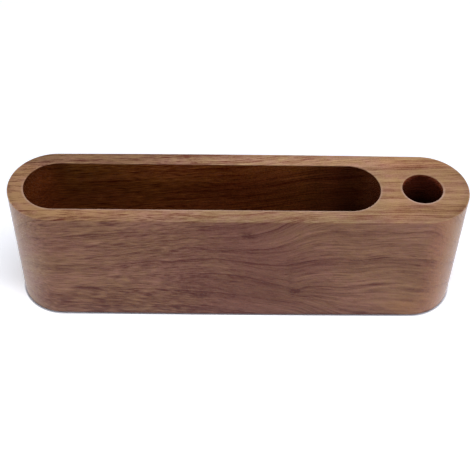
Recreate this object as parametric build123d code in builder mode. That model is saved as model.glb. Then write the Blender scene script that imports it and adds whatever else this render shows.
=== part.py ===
from build123d import *
import os

# A desk holder for business cards and one pen, in millimetres.
# The body is one block of walnut with upright sides, round at both ends, and its long sides
# swell a little towards the middle. A long round-ended pocket is milled into its top for the
# cards, which stand on their long edge, and a round hole beside it takes a pen. Four anti-slip
# pads sit in shallow seats in its underside.
# +X runs along the block towards the pen hole and +Z is up. The origin lies on the desk, under
# the middle of the block.

# Card pocket
POCKET_LENGTH = 100.5  # takes a 90 mm card, with room to tip it forward and pinch it
POCKET_WIDTH = 18.0
POCKET_FLOOR_FILLET = 1.0  # left by the rounded corner of the milling cutter

# Pen hole
PEN_HOLE_DIAMETER = 11.5
PEN_FLOOR_FILLET = 0.6

# Block
BLOCK_HEIGHT = 40.5
FLOOR_THICKNESS = 9.5  # wood left under the pocket and the pen hole
SIDE_WALL = 4.5  # wood beside the pocket, at the block's middle and at its far end
SIDE_BOW = 0.3  # how far a long side swells between the round ends
PEN_WEB = 6.05  # wood between the pocket and the pen hole
TOP_EASE = 0.5  # radius sanded onto the outer top edge
BASE_EASE = 0.3  # radius sanded onto the outer bottom edge
RIM_EASE = 0.2  # radius sanded onto the rims of the pocket and the pen hole

# Anti-slip pads
PAD_DIAMETER = 6.4
PAD_THICKNESS = 1.2
PAD_STAND = 0.5  # how far a pad stands out of the wood
PAD_CLEARANCE = 0.2  # all round a pad in its seat
PAD_MARGIN = 2.0  # wood between a pad's seat and the block's side
PAD_BEVEL = 0.3  # on the pad's edge that meets the desk

# The block's outline follows from what it holds: the walls stand round the pocket, and the pen
# hole is concentric with the round end beside it.
pen_radius = PEN_HOLE_DIAMETER / 2
half_width = POCKET_WIDTH / 2 + SIDE_WALL
end_radius = half_width - SIDE_BOW
block_length = SIDE_WALL + POCKET_LENGTH + PEN_WEB + pen_radius + end_radius
arc_centre = block_length / 2 - end_radius  # of either round end, from the middle
pocket_centre = SIDE_WALL + POCKET_LENGTH / 2 - block_length / 2

# Each long side is one shallow arc, tangent to both round ends where it meets them.
side_radius = (arc_centre**2 + SIDE_BOW**2) / (2 * SIDE_BOW) + end_radius
centre_spacing = side_radius - end_radius  # from the side arc's centre to that of a round end
join_x = arc_centre * side_radius / centre_spacing
join_y = end_radius * (side_radius - half_width) / centre_spacing

top_level = PAD_STAND + BLOCK_HEIGHT
hollow_depth = BLOCK_HEIGHT - FLOOR_THICKNESS

# The pads lie as far apart as the flat underside lets them, where the long sides run into the
# round ends.
pad_radius = PAD_DIAMETER / 2
seat_radius = pad_radius + PAD_CLEARANCE
pad_y = end_radius - PAD_MARGIN - seat_radius

os.makedirs("parts", exist_ok=True)


# The block is cut to its outline, and the pocket and the pen hole are sunk into its top face.
with BuildPart() as walnut_block:
    with BuildSketch(Plane.XY.offset(PAD_STAND)):
        with BuildLine():
            long_side = ThreePointArc((-join_x, join_y), (0, half_width), (join_x, join_y))
            round_end = ThreePointArc((join_x, join_y), (block_length / 2, 0), (join_x, -join_y))
            mirror(long_side, about=Plane.XZ)
            mirror(round_end, about=Plane.YZ)
        make_face()
    extrude(amount=BLOCK_HEIGHT)

    with BuildSketch(Plane.XY.offset(top_level)):
        with Locations((pocket_centre, 0)):
            SlotOverall(POCKET_LENGTH, POCKET_WIDTH)
    extrude(amount=-hollow_depth, mode=Mode.SUBTRACT)
    pocket_floor = walnut_block.faces(Select.LAST).sort_by(Axis.Z)[0]
    fillet(pocket_floor.edges(), POCKET_FLOOR_FILLET)

    with Locations((arc_centre, 0, top_level)):
        Hole(pen_radius, hollow_depth)
    pen_floor = walnut_block.faces(Select.LAST).sort_by(Axis.Z)[0]
    fillet(pen_floor.edges(), PEN_FLOOR_FILLET)

    # The sharp edges that a hand meets are sanded round: the rims lightly, the outside more.
    top_face = walnut_block.faces().sort_by(Axis.Z)[-1]
    rims = [edge for wire in top_face.inner_wires() for edge in wire.edges()]
    fillet(rims, RIM_EASE)
    top_face = walnut_block.faces().sort_by(Axis.Z)[-1]
    fillet(top_face.outer_wire().edges(), TOP_EASE)
    underside = walnut_block.faces().sort_by(Axis.Z)[0]
    fillet(underside.edges(), BASE_EASE)

    # Seats for the pads
    with BuildSketch(Plane.XY.offset(PAD_STAND)):
        with GridLocations(2 * arc_centre, 2 * pad_y, 2, 2):
            Circle(seat_radius)
    extrude(amount=PAD_THICKNESS - PAD_STAND, mode=Mode.SUBTRACT)
walnut_block.part.label = "walnut_block"
export_step(walnut_block.part, "parts/walnut_block.step")


# Each pad is a flat rubber disc, glued to the bottom of its seat.
for end, x in (("left", -arc_centre), ("right", arc_centre)):
    for side, y in (("front", -pad_y), ("rear", pad_y)):
        with BuildPart() as foot_pad:
            with BuildSketch(Plane.XY):
                with Locations((x, y)):
                    Circle(pad_radius)
            extrude(amount=PAD_THICKNESS)
            chamfer(foot_pad.edges().group_by(Axis.Z)[0], PAD_BEVEL)
        foot_pad.part.label = f"foot_pad_{side}_{end}"
        export_step(foot_pad.part, f"parts/{foot_pad.part.label}.step")
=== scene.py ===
import math

import bpy
from mathutils import Matrix, Vector


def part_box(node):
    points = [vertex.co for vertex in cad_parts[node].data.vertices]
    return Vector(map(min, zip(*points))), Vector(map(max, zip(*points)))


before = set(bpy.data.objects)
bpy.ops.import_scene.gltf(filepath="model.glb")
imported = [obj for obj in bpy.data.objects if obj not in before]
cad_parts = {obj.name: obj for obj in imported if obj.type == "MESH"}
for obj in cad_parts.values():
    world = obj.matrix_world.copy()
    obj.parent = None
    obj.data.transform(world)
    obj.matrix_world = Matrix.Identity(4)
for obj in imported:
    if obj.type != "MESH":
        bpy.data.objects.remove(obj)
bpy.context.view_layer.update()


# The block is one piece of black walnut, milled from a plank and sanded, with its edges eased
# by hand and a thin coat of oil rubbed in. Its growth rings run along its length, bulge round
# two pin knots, and fall away from the front, so the same rings show on top and in the hollows.
class Wire:
    """One socket of a material. Sums and products of wires and numbers add Math nodes."""

    def __init__(self, tree, socket):
        self.tree = tree
        self.socket = socket

    def node(self, kind, settings, sockets, out=0):
        """Adds a node, sets its settings and then its sockets, and returns one of its outputs."""
        made = self.tree.nodes.new(kind)
        for name, value in settings.items():
            if name == "points":
                curve = made.mapping.curves[0]
                while len(curve.points) < len(value):
                    curve.points.new(0.5, 0.5)
                for mark, location in zip(curve.points, value):
                    mark.location = location
                made.mapping.update()
            else:
                setattr(made, name, value)
        for name, value in sockets.items():
            if isinstance(value, Wire):
                value.into(made, name)
            else:
                made.inputs[name].default_value = value
        return Wire(self.tree, made.outputs[out])

    def into(self, node, name):
        self.tree.links.new(self.socket, node.inputs[name])

    def math(self, operation, *terms):
        return self.node("ShaderNodeMath", {"operation": operation}, dict(enumerate(terms)))

    def __add__(self, other):
        return self.math("ADD", self, other)

    def __sub__(self, other):
        return self.math("SUBTRACT", self, other)

    def __rsub__(self, other):
        return self.math("SUBTRACT", other, self)

    def __mul__(self, other):
        return self.math("MULTIPLY", self, other)

    def __truediv__(self, other):
        return self.math("DIVIDE", self, other)

    def __rtruediv__(self, other):
        return self.math("DIVIDE", other, self)

    __radd__ = __add__
    __rmul__ = __mul__

    def at_least(self, low):
        return self.math("MAXIMUM", self, low)

    def at_most(self, high):
        return self.math("MINIMUM", self, high)

    def clamped(self, low, high):
        return self.at_least(low).at_most(high)

    def absolute(self):
        return self.math("ABSOLUTE", self)

    def distance(self, other):
        """How far the point with these two coordinates is from the origin."""
        return self.math("SQRT", self * self + other * other)

    def step(self, start, end):
        """Rises smoothly from 0 to 1 as the value goes from start to end."""
        sockets = {"Value": self, "From Min": start, "From Max": end}
        return self.node("ShaderNodeMapRange", {"interpolation_type": "SMOOTHSTEP"}, sockets)

    def bell(self, middle, reach):
        """1 at the middle, and near 0 at twice the reach from it."""
        offset = (self - middle) / reach
        return self.math("EXPONENT", offset * offset * -1)

    def noise(self, scale, detail, rough=0.5):
        """Noise at this place, with 0.5 as its mean and blots about 1 / scale wide."""
        sockets = {"Vector": self, "Scale": scale, "Detail": detail, "Roughness": rough}
        return self.node("ShaderNodeTexNoise", {}, sockets)

    def blend(self, first, second):
        """Goes from the first colour to the second as this value goes from 0 to 1."""
        factor, first_colour, second_colour, result = 0, 6, 7, 2  # sockets of a Mix of colours
        sockets = {factor: self, first_colour: first, second_colour: second}
        return self.node("ShaderNodeMix", {"data_type": "RGBA"}, sockets, result)

    def tinted(self, tint):
        """Multiplies this colour by another one."""
        return self.node("ShaderNodeVectorMath", {"operation": "MULTIPLY"}, {0: self, 1: tint})

    def scaled(self, factor):
        """Multiplies this colour or vector by a number."""
        return self.node("ShaderNodeVectorMath", {"operation": "SCALE"}, {0: self, "Scale": factor})

    def parts(self):
        """The x, y and z of this vector."""
        split = self.node("ShaderNodeSeparateXYZ", {}, {0: self})
        return [Wire(self.tree, output) for output in split.socket.node.outputs]


MM = 0.001


def start_material(name):
    """Returns a new material, its shader, and the shader's output as a first wire."""
    material = bpy.data.materials.new(name)
    material.use_nodes = True
    tree = material.node_tree
    shader = tree.nodes["Principled BSDF"]
    return material, shader, Wire(tree, shader.outputs["BSDF"])


def place_in_mm(wire):
    """Where a point of the piece lies in the frame, in millimetres."""
    return wire.node("ShaderNodeTexCoord", {}, {}, "Object").scaled(1 / MM)


def point(x, y, z):
    return x.node("ShaderNodeCombineXYZ", {}, {"X": x, "Y": y, "Z": z})


BLOCK_LOW, BLOCK_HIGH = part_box("walnut_block")
BLOCK_LENGTH = (BLOCK_HIGH.x - BLOCK_LOW.x) / MM
HALF_WIDTH = -BLOCK_LOW.y / MM
TOP = BLOCK_HIGH.z / MM
END_CENTRE = 51.8  # of either round end and, at the right, of the pen hole
PEN_RADIUS = 5.75
POCKET_MIDDLE = -10.25
POCKET_STRAIGHT = 41.25  # from the pocket's middle to the centre of either of its round ends
POCKET_RADIUS = 9.0

walnut, shader, surface = start_material("oiled_walnut")
place = place_in_mm(surface)
x, y, z = place.parts()
depth = y + HALF_WIDTH  # behind the front

# How high each growth line that shows on the front stands above the desk, along the block
RING_COURSES = [
    [(-65, 12.4), (-52, 12.8), (-38, 12.5), (-20, 11.9), (-8, 11.1), (2, 9.4), (11, 7.5),
     (18, 5.6), (25, 2.2), (34, -2.5), (65, -7)],
    [(-65, 15.6), (-53, 16.7), (-40, 17.4), (-24, 18.7), (-15, 19.3), (-7, 19.2), (0, 18.3),
     (8, 16.0), (14, 13.8), (17, 12.6), (20, 13.6), (28, 14.2), (35, 14.6), (41, 15.7),
     (47, 15.9), (53, 15.1), (65, 14.6)],
    [(-65, 21.2), (-50, 22.0), (-40, 22.3), (-29, 24.0), (-18, 24.9), (-9, 25.6), (-2, 25.2),
     (3, 24.3), (8, 23.4), (13, 23.2), (17, 24.4), (21, 25.7), (27, 26.0), (34, 25.8),
     (41, 27.2), (47, 27.2), (53, 26.4), (65, 26)],
    [(-65, 24.6), (-50, 25.4), (-40, 26.0), (-35, 26.4), (-30, 27.8), (-22, 29.6), (-12, 30.3),
     (-2, 30.0), (5, 29.8), (9, 30.4), (14, 32.7), (17, 34.8), (20, 36.4), (24, 37.4),
     (28, 37.8), (34, 37.3), (42, 37.3), (50, 38.1), (65, 38)],
    [(-65, 28.8), (-50, 29.8), (-35, 31.2), (-20, 33.0), (-10, 34.4), (3, 35.4), (9, 38),
     (15, 42), (22, 46.5), (30, 48.5), (65, 49)],
    [(-65, 33.5), (-50, 34.5), (-30, 36.5), (-10, 39.2), (3, 41), (12, 45), (24, 50), (65, 51.5)],
]
LOWEST_COURSE = -12  # the least height that a course can have
COURSE_RANGE = 64  # from the least height to the greatest
RING_BELOW = 7.5  # width of the rings below the lowest course
RING_ABOVE = 7.0  # and above the highest one
RING_WIDTH = 3.8  # of a common ring, for the size of the grain across the rings


def course(points):
    """The height of a growth line on the front at this x. A curve node works from 0 to 1."""
    curve_points = [
        (along / BLOCK_LENGTH + 0.5, (height - LOWEST_COURSE) / COURSE_RANGE)
        for along, height in points
    ]
    share = (x + BLOCK_LENGTH / 2) / BLOCK_LENGTH
    curve = x.node("ShaderNodeFloatCurve", {"points": curve_points}, {"Value": share})
    return curve * COURSE_RANGE + LOWEST_COURSE


# A ring falls by "fall" for each millimetre towards the back. Just behind the front it falls
# less at the left end. "level" is the height at which the ring through a point comes out on the
# front.
fall = 2.6 - 0.004 * x
near_fall = 1.2 + 1.8 * x.step(-45, 50)
nearness = x.math("EXPONENT", depth * (-1 / 7))
ripple = point(x / 30, depth / 12, z / 12).noise(1, 3) - 0.5
waves = point(x / 7, depth / 3, z / 3).noise(1, 2) - 0.5
level = z + (z - TOP) * depth / 16 + depth * (fall + (near_fall - fall) * nearness)
level = level + ripple * (1.5 + depth.clamped(0, 20) * 0.25) + waves * 0.8

# "ring" counts the rings from the lowest course up, and "year" is the place within a ring, from
# 0 in its first wood to 1 in its last.
courses = [course(points) for points in RING_COURSES]
ring = (level - courses[0]).at_most(0) / RING_BELOW
for low, high in zip(courses, courses[1:]):
    ring = ring + ((level - low) / (high - low)).clamped(0, 1)
ring = ring + (level - courses[-1]).at_least(0) / RING_ABOVE
across = ring * RING_WIDTH
year = x.math("FRACT", ring + 40)  # 40 keeps the count above 0


def grain(long, wide, deep, detail, rough=0.5):
    """Noise in blots of this size along the rings, across them and towards the back."""
    return point(x / long, across / wide, depth / deep).noise(1, detail, rough)


# Each ring darkens towards its outer edge, which ends in a thin dark line. Fibres and dashes
# run along the rings. They are short at the left end and longer at the right, where the rings
# are also wider apart. The top begins within the eased edge.
on_top = z.step(TOP - 0.45, TOP - 0.15)
on_side = 1 - on_top
middle = x.bell(2, 20) * (1 - on_top * 0.9)
late = year.step(0.45, 0.95)
uneven = grain(16, RING_WIDTH / 1.4, 6, 2).step(0.3, 0.7)
broken = grain(11, RING_WIDTH / 2, 9, 1).step(0.36, 0.58)
line = year.step(0.92, 0.975) * (1 - year.step(0.985, 1.0))
line = line * (broken * 0.6 + middle * 0.4).clamped(0, 1)
left = 1 - x.step(-25, 25)
left_fibre = grain(5.5, 0.6, 0.8, 4, 0.68) - 0.5
right_fibre = grain(15, 0.28, 1.2, 4, 0.62) - 0.5
fibre = right_fibre + (left_fibre - right_fibre) * left
left_dash = grain(2.8, 0.3, 0.4, 2) - 0.5
right_dash = grain(6, 0.13, 0.4, 2) - 0.5
dash = right_dash + (left_dash - right_dash) * left
streak = grain(30, 0.9, 3, 3, 0.6) - 0.5
broad = grain(45, 4, 9, 2) - 0.5
speck = place.noise(2.2, 1) - 0.5

# Pores are short dark dashes along the grain, larger and closer in the first wood of a ring.
fine_pore = 1 - grain(2.2, 0.3, 0.35, 1).step(0.32, 0.46)
large_pore = 1 - grain(4.0, 0.42, 0.5, 1).step(0.3, 0.42)
early = 1 - year.step(0.1, 0.75)
pores = (fine_pore * 0.5 + large_pore * (0.3 + 0.7 * early)).clamped(0, 1)

# Two pin knots, each with a dark stain round it, and two faint stains: x, height, reach along,
# reach up, strength
STAINS = [(17.0, 11.4, 1.5, 1.7, 1.0), (2.7, 35.3, 2.0, 1.2, 0.8), (-10.6, 9.8, 2.6, 1.8, 0.3),
          (15.4, 17.5, 0.8, 4.5, 0.22)]
STAIN_DEPTH = 6
STAIN_SLOPE = 0.4
stains = 0
for at_x, at_z, wide, tall, strength in STAINS:
    blot = x.bell(at_x, wide) * (z + depth * STAIN_SLOPE).bell(at_z, tall)
    stains = stains + blot * depth.bell(0, STAIN_DEPTH) * strength
stains = stains * place.noise(0.9, 3, 0.6).step(0.25, 0.7) * 1.4

# "tone" goes from 0 in the darkest wood to 1 in the palest. The middle of the front is calmer
# and darker, and late wood is darkest where a dash runs through it.
MEAN_TONE = 0.62
calm = 1 - middle * 0.25
tone = MEAN_TONE + (fibre * 1.5 + dash * 0.95) * calm + streak * 0.65 + broad * 0.65 + speck * 0.3
tone = tone - late * (uneven * 0.18 + middle * 0.06) - line * 0.4 - pores * 0.23 - stains * 0.75
tone = tone - late * (0 - dash).clamped(0, 1) * (0.5 + x.bell(-27, 12) * 0.9)
tone = tone - middle * 0.2 + x.step(18, 30) * 0.04 + x.step(35, 55) * 0.11
tone = tone + (1 - x.step(-52, -36)) * 0.05

# Round the ends the grain is seen at a slant, so it is fainter there. The ends are also painted
# paler: painted light at the right end and a painted sheen at the left end.
END_TONE = 0.55
ends = x.absolute().step(55, 63) * on_side
left_end_sheen = 1 - x.step(-62, -54)
tone = tone + (END_TONE - tone) * ends * 0.7
tone = tone - ends * (line * 0.3 + late * uneven * 0.16 + pores * 0.06 - 0.05)
tone = tone + on_side * (x.step(53, 60) * 0.25 + x.bell(60, 2.2) * 0.1 + left_end_sheen * 0.12)

# Paler and darker places on the front and on the top: x, height or y, reach along, reach up or
# back, change of tone
FRONT_SHADES = [(-38, 17.5, 24, 2, 0.12), (-40, 5, 26, 3.5, -0.16), (-38, 26, 9, 3, -0.04),
                (-14, 12, 6, 3.5, -0.22), (-15, 17, 7, 3, -0.08), (9, 18, 10, 8, -0.11),
                (22, 33, 6, 5, 0.2), (-14, 32, 7, 3, 0.08), (-5, 21, 4, 4, 0.12),
                (41, 18, 5, 6, 0.12), (50, 5, 8, 5, 0.1), (50, 32, 5, 3, -0.07),
                (50, 12.5, 5, 4, -0.14), (-50, 11, 5, 2.5, 0.16), (4, 34, 6, 4, 0.06),
                (23, 12, 5, 3, -0.08), (-3, 33, 4, 2.5, -0.06)]
TOP_SHADES = [(51, 10.3, 12, 1.5, -0.24), (46, -4.6, 8, 1.5, 0.16), (49, -8.3, 12, 1.3, -0.24),
              (50, -12, 12, 1.0, -0.2), (46, 0.8, 11, 0.8, -0.12), (62, 0.8, 3, 1.2, -0.1),
              (62, -8, 2.5, 2, -0.2), (-12, 12.4, 9, 0.9, -0.26), (-22, 10.4, 6, 0.9, -0.14),
              (-9, 10.4, 9, 0.8, 0.1), (-27, -12, 9, 1, 0.15), (17, -12.2, 10, 0.7, -0.14),
              (-42, -12, 6, 1, -0.12)]
at_front = 1 - depth.step(2, 6)
for at_x, at_z, wide, tall, change in FRONT_SHADES:
    tone = tone + x.bell(at_x, wide) * z.bell(at_z, tall) * at_front * change
for at_x, at_y, long, wide, change in TOP_SHADES:
    tone = tone + x.bell(at_x, long) * y.bell(at_y, wide) * on_top * change

# The foot and the underside are painted darker, a painted shade where the block meets the floor.
# The wood is dark along the third growth line, right of the lower knot. On the top its light and
# dark lie further apart, most of all at the left end.
THIRD_LINE = 1.97  # its ring count
TOP_TONE = 0.47  # the tone that stays as it is on the top
tone = tone - (1 - z.step(0.8, 1.7)) * 0.32 - (1 - z.step(1, 7)) * 0.08
tone = tone - ring.bell(THIRD_LINE, 0.1) * x.step(16, 26) * 0.14
tone = tone + (tone - TOP_TONE) * on_top * (0.4 + (1 - x.step(-50, -40)) * 1.1)

DARK_WOOD = (0.080, 0.008, 0.001, 1)
PALE_WOOD = (0.302, 0.146, 0.082, 1)
OLIVE_PATCH = (0.98, 1.03, 0.87, 1)
MAUVE_PATCH = (1.02, 0.96, 1.11, 1)
STAINED = (0.95, 1.12, 1.02, 1)
patch = grain(22, 9, 9, 1).step(0.3, 0.7)
mottle = place.noise(0.45, 3, 0.65) - 0.5
patch = patch * 0.7 + middle * 0.4 - (1 - x.step(-50, -15)) * 0.1 + mottle * 2.6
patch_tint = patch.clamped(0, 1).blend(OLIVE_PATCH, MAUVE_PATCH)
patch_tint = stains.clamped(0, 1).blend(patch_tint, STAINED)
colour = tone.clamped(0, 1).blend(DARK_WOOD, PALE_WOOD).tinted(patch_tint)


def past_outline(x, y):
    """How far a point lies outside the block's outline, seen from above."""
    past_centre = (x.absolute() - END_CENTRE).at_least(0)
    return past_centre.distance(y) - HALF_WIDTH


# Distances from the walls of the two hollows, seen from above
past_straight = ((x - POCKET_MIDDLE).absolute() - POCKET_STRAIGHT).at_least(0)
pocket_gap = past_straight.distance(y) - POCKET_RADIUS
pen_gap = (x - END_CENTRE).distance(y) - PEN_RADIUS
gap = pocket_gap.at_most(pen_gap)
in_hollow = (1 - gap.step(0.02, 0.12)) * on_side * z.step(4, 8)
in_hole = x.step(42, 44)  # 0 in the card pocket and 1 in the pen hole

# The front has the wood's own colour, redder towards its right end and at its right foot. Its
# left end is painted greyer, a painted sheen.
PLAIN = (1, 1, 1, 1)
LEFT_END_SHEEN_TINT = (1, 1.13, 1.18, 1)
RIGHT_END_TINT = (1.02, 0.9, 0.86, 1)
RIGHT_FOOT_TINT = (1.06, 0.96, 0.85, 1)
front_tint_and_sheen = left_end_sheen.blend(PLAIN, LEFT_END_SHEEN_TINT)
front_tint_and_sheen = (x.step(51, 56) - x.step(58, 61)).blend(front_tint_and_sheen, RIGHT_END_TINT)
front_tint_and_sheen = (x.bell(50, 6) * z.bell(4, 4)).blend(front_tint_and_sheen, RIGHT_FOOT_TINT)

# The top is painted lighter than the sides, a painted light as from above. Along its outer
# edge it is painted darker, a painted shade on the eased edge. It is also darker at both ends,
# lighter between the hollows, and its rear rail grows lighter from left to right.
PAINTED_TOP_LIGHT_LEFT = (1.49, 1.66, 1.62, 1)
PAINTED_TOP_LIGHT = (1.64, 2.07, 2.25, 1)
PAINTED_TOP_LIGHT_RIGHT = (1.63, 1.91, 1.9, 1)
top_light_tint = x.step(-45, 0).blend(PAINTED_TOP_LIGHT_LEFT, PAINTED_TOP_LIGHT)
top_light_tint = x.step(36, 46).blend(top_light_tint, PAINTED_TOP_LIGHT_RIGHT)
inset = 0 - past_outline(x, y)
# Painted shade along the eased outer edge of the top
painted_edge_shade = 0.3 - inset.step(0.1, 0.6) * 0.16 - inset.step(0.5, 2.5) * 0.14
top_shade = x.bell(43, 3) * 0.08 - (1 - x.step(-56, -46)) * 0.08 - x.step(46, 52) * 0.08
top_shade = top_shade - 0.03 - painted_edge_shade * (1 - y.step(2, 11) * 0.75)
top_shade = top_shade + y.step(7, 10) * (x.step(-45, 25) * 0.58 - 0.3)
top_shade = top_shade - y.step(11, 12.3) * x.step(-30, 45) * 0.14

# In the hollows the wood is painted as in shade: a deeper and darker red, darker towards the right
# and close to the top. The painted shade evens out towards their floors. Their grain stands out
# more than outside.
SHADED_HOLLOW_LEFT = (0.85, 0.45, 0.24, 1)
SHADED_HOLLOW = (0.93, 0.66, 0.31, 1)
SHADED_HOLLOW_RIGHT = (0.92, 0.54, 0.33, 1)
SHADED_PEN_HOLE = (0.9, 0.44, 0.4, 1)
hollow_shade_tint = x.step(-58, -46).blend(SHADED_HOLLOW_LEFT, SHADED_HOLLOW)
hollow_shade_tint = x.step(18, 32).blend(hollow_shade_tint, SHADED_HOLLOW_RIGHT)
hollow_shade_tint = in_hole.blend(hollow_shade_tint, SHADED_PEN_HOLE)
FLOOR_SHADE = 0.25
pocket_shade = x.step(-62, -50) * 0.25 + x.step(-50, -20) * 0.3 - 0.2
pocket_shade = pocket_shade - x.step(16, 24) * 0.42 - x.step(24, 34) * 0.5
pocket_shade = pocket_shade - z.step(33, 41) * (0.5 - x.step(20, 34) * 0.35)
pocket_shade = FLOOR_SHADE + (pocket_shade - FLOOR_SHADE) * z.step(11, 22)
pocket_shade = pocket_shade - (1 - z.step(22, 30)) * x.step(6, 20) * 0.22
HOLE_FLOOR_SHADE = -0.2
hole_shade = z.step(30, 40) * 0.75 - x.step(45.5, 53) * 0.3 - 0.6
hole_shade = HOLE_FLOOR_SHADE + (hole_shade - HOLE_FLOOR_SHADE) * z.step(14, 28)
deep_shade = pocket_shade + (hole_shade - pocket_shade) * in_hole
shade = (1 + on_top * top_shade + in_hollow * deep_shade).clamped(0.08, 2)
coarse_grain = (fibre + dash * 0.9) * (1 + x.step(-20, 5) * 1.1)
coarse_grain = coarse_grain + speck * (0.4 + x.step(-20, 10) * 1.1)
shade = shade * (1 + in_hollow * coarse_grain * (0.9 - x.step(22, 34) * 0.4))
# The tint by place holds the front's colour and painted sheen, the painted light on the top and the
# painted shade in the hollows.
tint_and_painted_light = in_hollow.blend(on_top.blend(front_tint_and_sheen, top_light_tint), hollow_shade_tint)
colour = colour.tinted(tint_and_painted_light.scaled(shade))

# The sanded edge round the mouths of the hollows is pale, and a painted highlight makes it paler,
# most of all in front.
SANDED_RIM_AND_HIGHLIGHT = (0.6, 0.42, 0.35, 1)
sanded_rim_and_highlight = (1 - gap.step(0.2, 0.75)) * on_top
sanded_rim_and_highlight = sanded_rim_and_highlight * (0.05 + (1 - y.step(-4, 4)) * (0.32 + in_hole * 0.25))
sanded_rim_and_highlight.blend(colour, SANDED_RIM_AND_HIGHLIGHT).into(shader, "Base Color")

OIL_ROUGHNESS = 0.24
clearness = 1 - ends * 0.8
rough = OIL_ROUGHNESS + (fibre + pores) * clearness * 0.15 + on_top * 0.28
rough.into(shader, "Roughness")
relief = (fibre * 0.5 - pores) * clearness
bump = x.node("ShaderNodeBump", {}, {"Height": relief, "Strength": 0.2, "Distance": 0.06 * MM})
bump.into(shader, "Normal")
shader.inputs["IOR"].default_value = 1.3  # thin oil on open pores shines less than lacquer

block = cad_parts["walnut_block"]
block.material_slots[0].material = walnut


# Four anti-slip pads, discs of black silicone rubber with a bevelled edge, are glued into
# shallow seats in the underside. Their faces are lightly textured from the mould.
rubber, shader, surface = start_material("pad_rubber")
place = place_in_mm(surface)
mould = place.noise(5.0, 3)
dust = place.noise(0.6, 2)
BLACK_RUBBER = (0.022, 0.022, 0.023, 1)
DUSTY_RUBBER = (0.036, 0.036, 0.037, 1)
dust.step(0.35, 0.75).blend(BLACK_RUBBER, DUSTY_RUBBER).into(shader, "Base Color")
(0.62 + mould * 0.16).into(shader, "Roughness")
bump = mould.node("ShaderNodeBump", {}, {"Height": mould, "Strength": 0.4, "Distance": 0.05 * MM})
bump.into(shader, "Normal")
for name in sorted(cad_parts):
    if name.startswith("foot_pad"):
        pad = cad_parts[name]
        pad.material_slots[0].material = rubber


# The table under the block is a wide sheet of matte white board, lit up where it is seen, so
# that it runs out to white. It keeps the block's shadow, but a painted glow in a strip along the
# front and round the left corner lifts most of it there, and the gap under the block stays dark.
def seen_directly(wire):
    """1 for what the camera sees, also in a gloss or through glass, and 0 for all other light."""
    camera_ray = wire.node("ShaderNodeLightPath", {}, {}, "Is Camera Ray")
    glossy_ray = wire.node("ShaderNodeLightPath", {}, {}, "Is Glossy Ray")
    clear_ray = wire.node("ShaderNodeLightPath", {}, {}, "Is Transmission Ray")
    return (camera_ray + glossy_ray + clear_ray).clamped(0, 1)


FLOOR_HALF = 3.0
corners = [
    (-FLOOR_HALF, -FLOOR_HALF, 0.0),
    (FLOOR_HALF, -FLOOR_HALF, 0.0),
    (FLOOR_HALF, FLOOR_HALF, 0.0),
    (-FLOOR_HALF, FLOOR_HALF, 0.0),
]
mesh = bpy.data.meshes.new("floor")
mesh.from_pydata(corners, [], [(0, 1, 2, 3)])
floor = bpy.data.objects.new("floor", mesh)
bpy.context.scene.collection.objects.link(floor)
WHITE_BOARD = (0.87, 0.9, 1, 1)
board, shader, surface = start_material("white_board")
shader.inputs["Base Color"].default_value = WHITE_BOARD
shader.inputs["Roughness"].default_value = 0.9
shader.inputs["Specular IOR Level"].default_value = 0.1
floor_x, floor_y = place_in_mm(surface).parts()[:2]
beyond = past_outline(floor_x, floor_y)
outside = beyond.step(-0.15, 0.15)
# A painted glow along the front and round the left corner lifts the block's shadow there.
left_corner = 1 - floor_x.step(-70, -58)
shadow_lifting_glow = (1 - floor_y.step(-14, 3)) * (1 - beyond.step(0.5, 5) * (1 - left_corner))
shadow_lifting_glow = shadow_lifting_glow * (1 - beyond.step(15, 40))
glow = outside * (0.34 + shadow_lifting_glow * 0.4) + beyond.step(150, 450) * 0.8
(seen_directly(surface) * glow).into(shader, "Emission Color")
shader.inputs["Emission Strength"].default_value = 1
mesh.materials.append(board)


# The room round the table is plain and white. It is bright where the camera or a gloss sees it,
# and gives the block no light of its own.
world = bpy.data.worlds.new("white_room")
world.use_nodes = True
bpy.context.scene.world = world
background = world.node_tree.nodes["Background"]
background.inputs["Color"].default_value = (1, 1, 1, 1)
walls = Wire(world.node_tree, background.outputs["Background"])
seen_directly(walls).into(background, "Strength")


# Softboxes light the block from above and, more weakly, from behind. Two low ones stand by its
# ends, a little to the front. All are turned to the middle of the block.
AIM_HEIGHT = 0.03


def softbox(name, wide, tall, power, place):
    lamp = bpy.data.lights.new(name, "AREA")
    lamp.shape = "RECTANGLE"
    lamp.size = wide
    lamp.size_y = tall
    lamp.energy = power
    holder = bpy.data.objects.new(name, lamp)
    bpy.context.scene.collection.objects.link(holder)
    holder.location = place
    aim = Vector((0, 0, AIM_HEIGHT)) - Vector(place)
    holder.rotation_euler = aim.to_track_quat("-Z", "Y").to_euler()


softbox("overhead_softbox", 0.5, 0.5, 5.7, (0.1, -0.12, 0.9))
softbox("rear_softbox", 0.7, 0.7, 1.3, (0.1, 0.75, 0.8))
softbox("low_right_softbox", 0.8, 0.24, 6.4, (0.95, -0.3, 0.14))
softbox("low_left_softbox", 0.8, 0.24, 6.2, (-0.95, -0.3, 0.14))


# The camera looks steeply down on the block from the front, nearly square to its long side, with
# a long lens.
CAMERA_PLACE = (-0.00376, -0.21167, 0.25219)
CAMERA_PITCH = math.radians(47.526)
CAMERA_YAW = math.radians(-0.803)
CAMERA_ROLL = math.radians(1.079)
SENSOR_WIDTH = 36.0
FOCAL_LENGTH = 81.47
lens = bpy.data.cameras.new("camera")
lens.sensor_width = SENSOR_WIDTH
lens.lens = FOCAL_LENGTH
lens.clip_start = 0.01
camera = bpy.data.objects.new("camera", lens)
bpy.context.scene.collection.objects.link(camera)
heading = Matrix.Rotation(CAMERA_YAW, 4, "Z")
tilt = Matrix.Rotation(math.pi / 2 - CAMERA_PITCH, 4, "X")
roll = Matrix.Rotation(CAMERA_ROLL, 4, "Z")
camera.matrix_world = Matrix.Translation(CAMERA_PLACE) @ heading @ tilt @ roll
bpy.context.scene.camera = camera
bpy.context.scene.view_settings.view_transform = "Standard"
